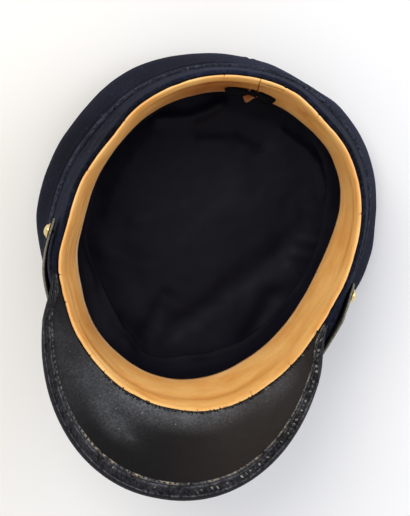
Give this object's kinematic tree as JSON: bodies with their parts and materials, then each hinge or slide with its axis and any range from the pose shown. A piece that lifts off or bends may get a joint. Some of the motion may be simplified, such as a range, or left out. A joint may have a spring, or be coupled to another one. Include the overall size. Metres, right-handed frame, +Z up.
{
  "type": "peaked cap",
  "caption": "Dark wool peaked cap lying crown down with its opening up: leather peak, tan leather sweatband, black lining, chin strap and gilt side buttons.",
  "frame": {"origin": "on the crown's flat top, which is the face that the cap lies on, under the middle of the head opening", "axes": "+Z up out of the head opening, -Y towards the peak and +Y towards the back of the cap, +X towards the wearer's right"},
  "size_m": [0.2216, 0.2625, 0.1246],
  "materials": {
    "wool_cloth": "napped navy wool melton",
    "lining_cloth": "black sateen",
    "sweatband_leather": "smooth undyed tan leather",
    "peak_leather": "worn black leather, rubbed grey in places",
    "strap_leather": "dark leather with a bare cut edge",
    "gilt_brass": "polished gilt",
    "ribbon": "black woven ribbon"
  },
  "bodies": {
    "root": {"crown_side": "wool_cloth", "crown_top": "wool_cloth", "band": "wool_cloth", "welt": "wool_cloth", "lining_side": "lining_cloth", "lining_top": "lining_cloth", "sweatband": "sweatband_leather", "peak": "peak_leather", "peak_binding": "peak_leather", "chin_strap": "strap_leather", "button_left": "gilt_brass", "button_right": "gilt_brass", "sweatband_bow": "ribbon"}
  },
  "joints": []
}
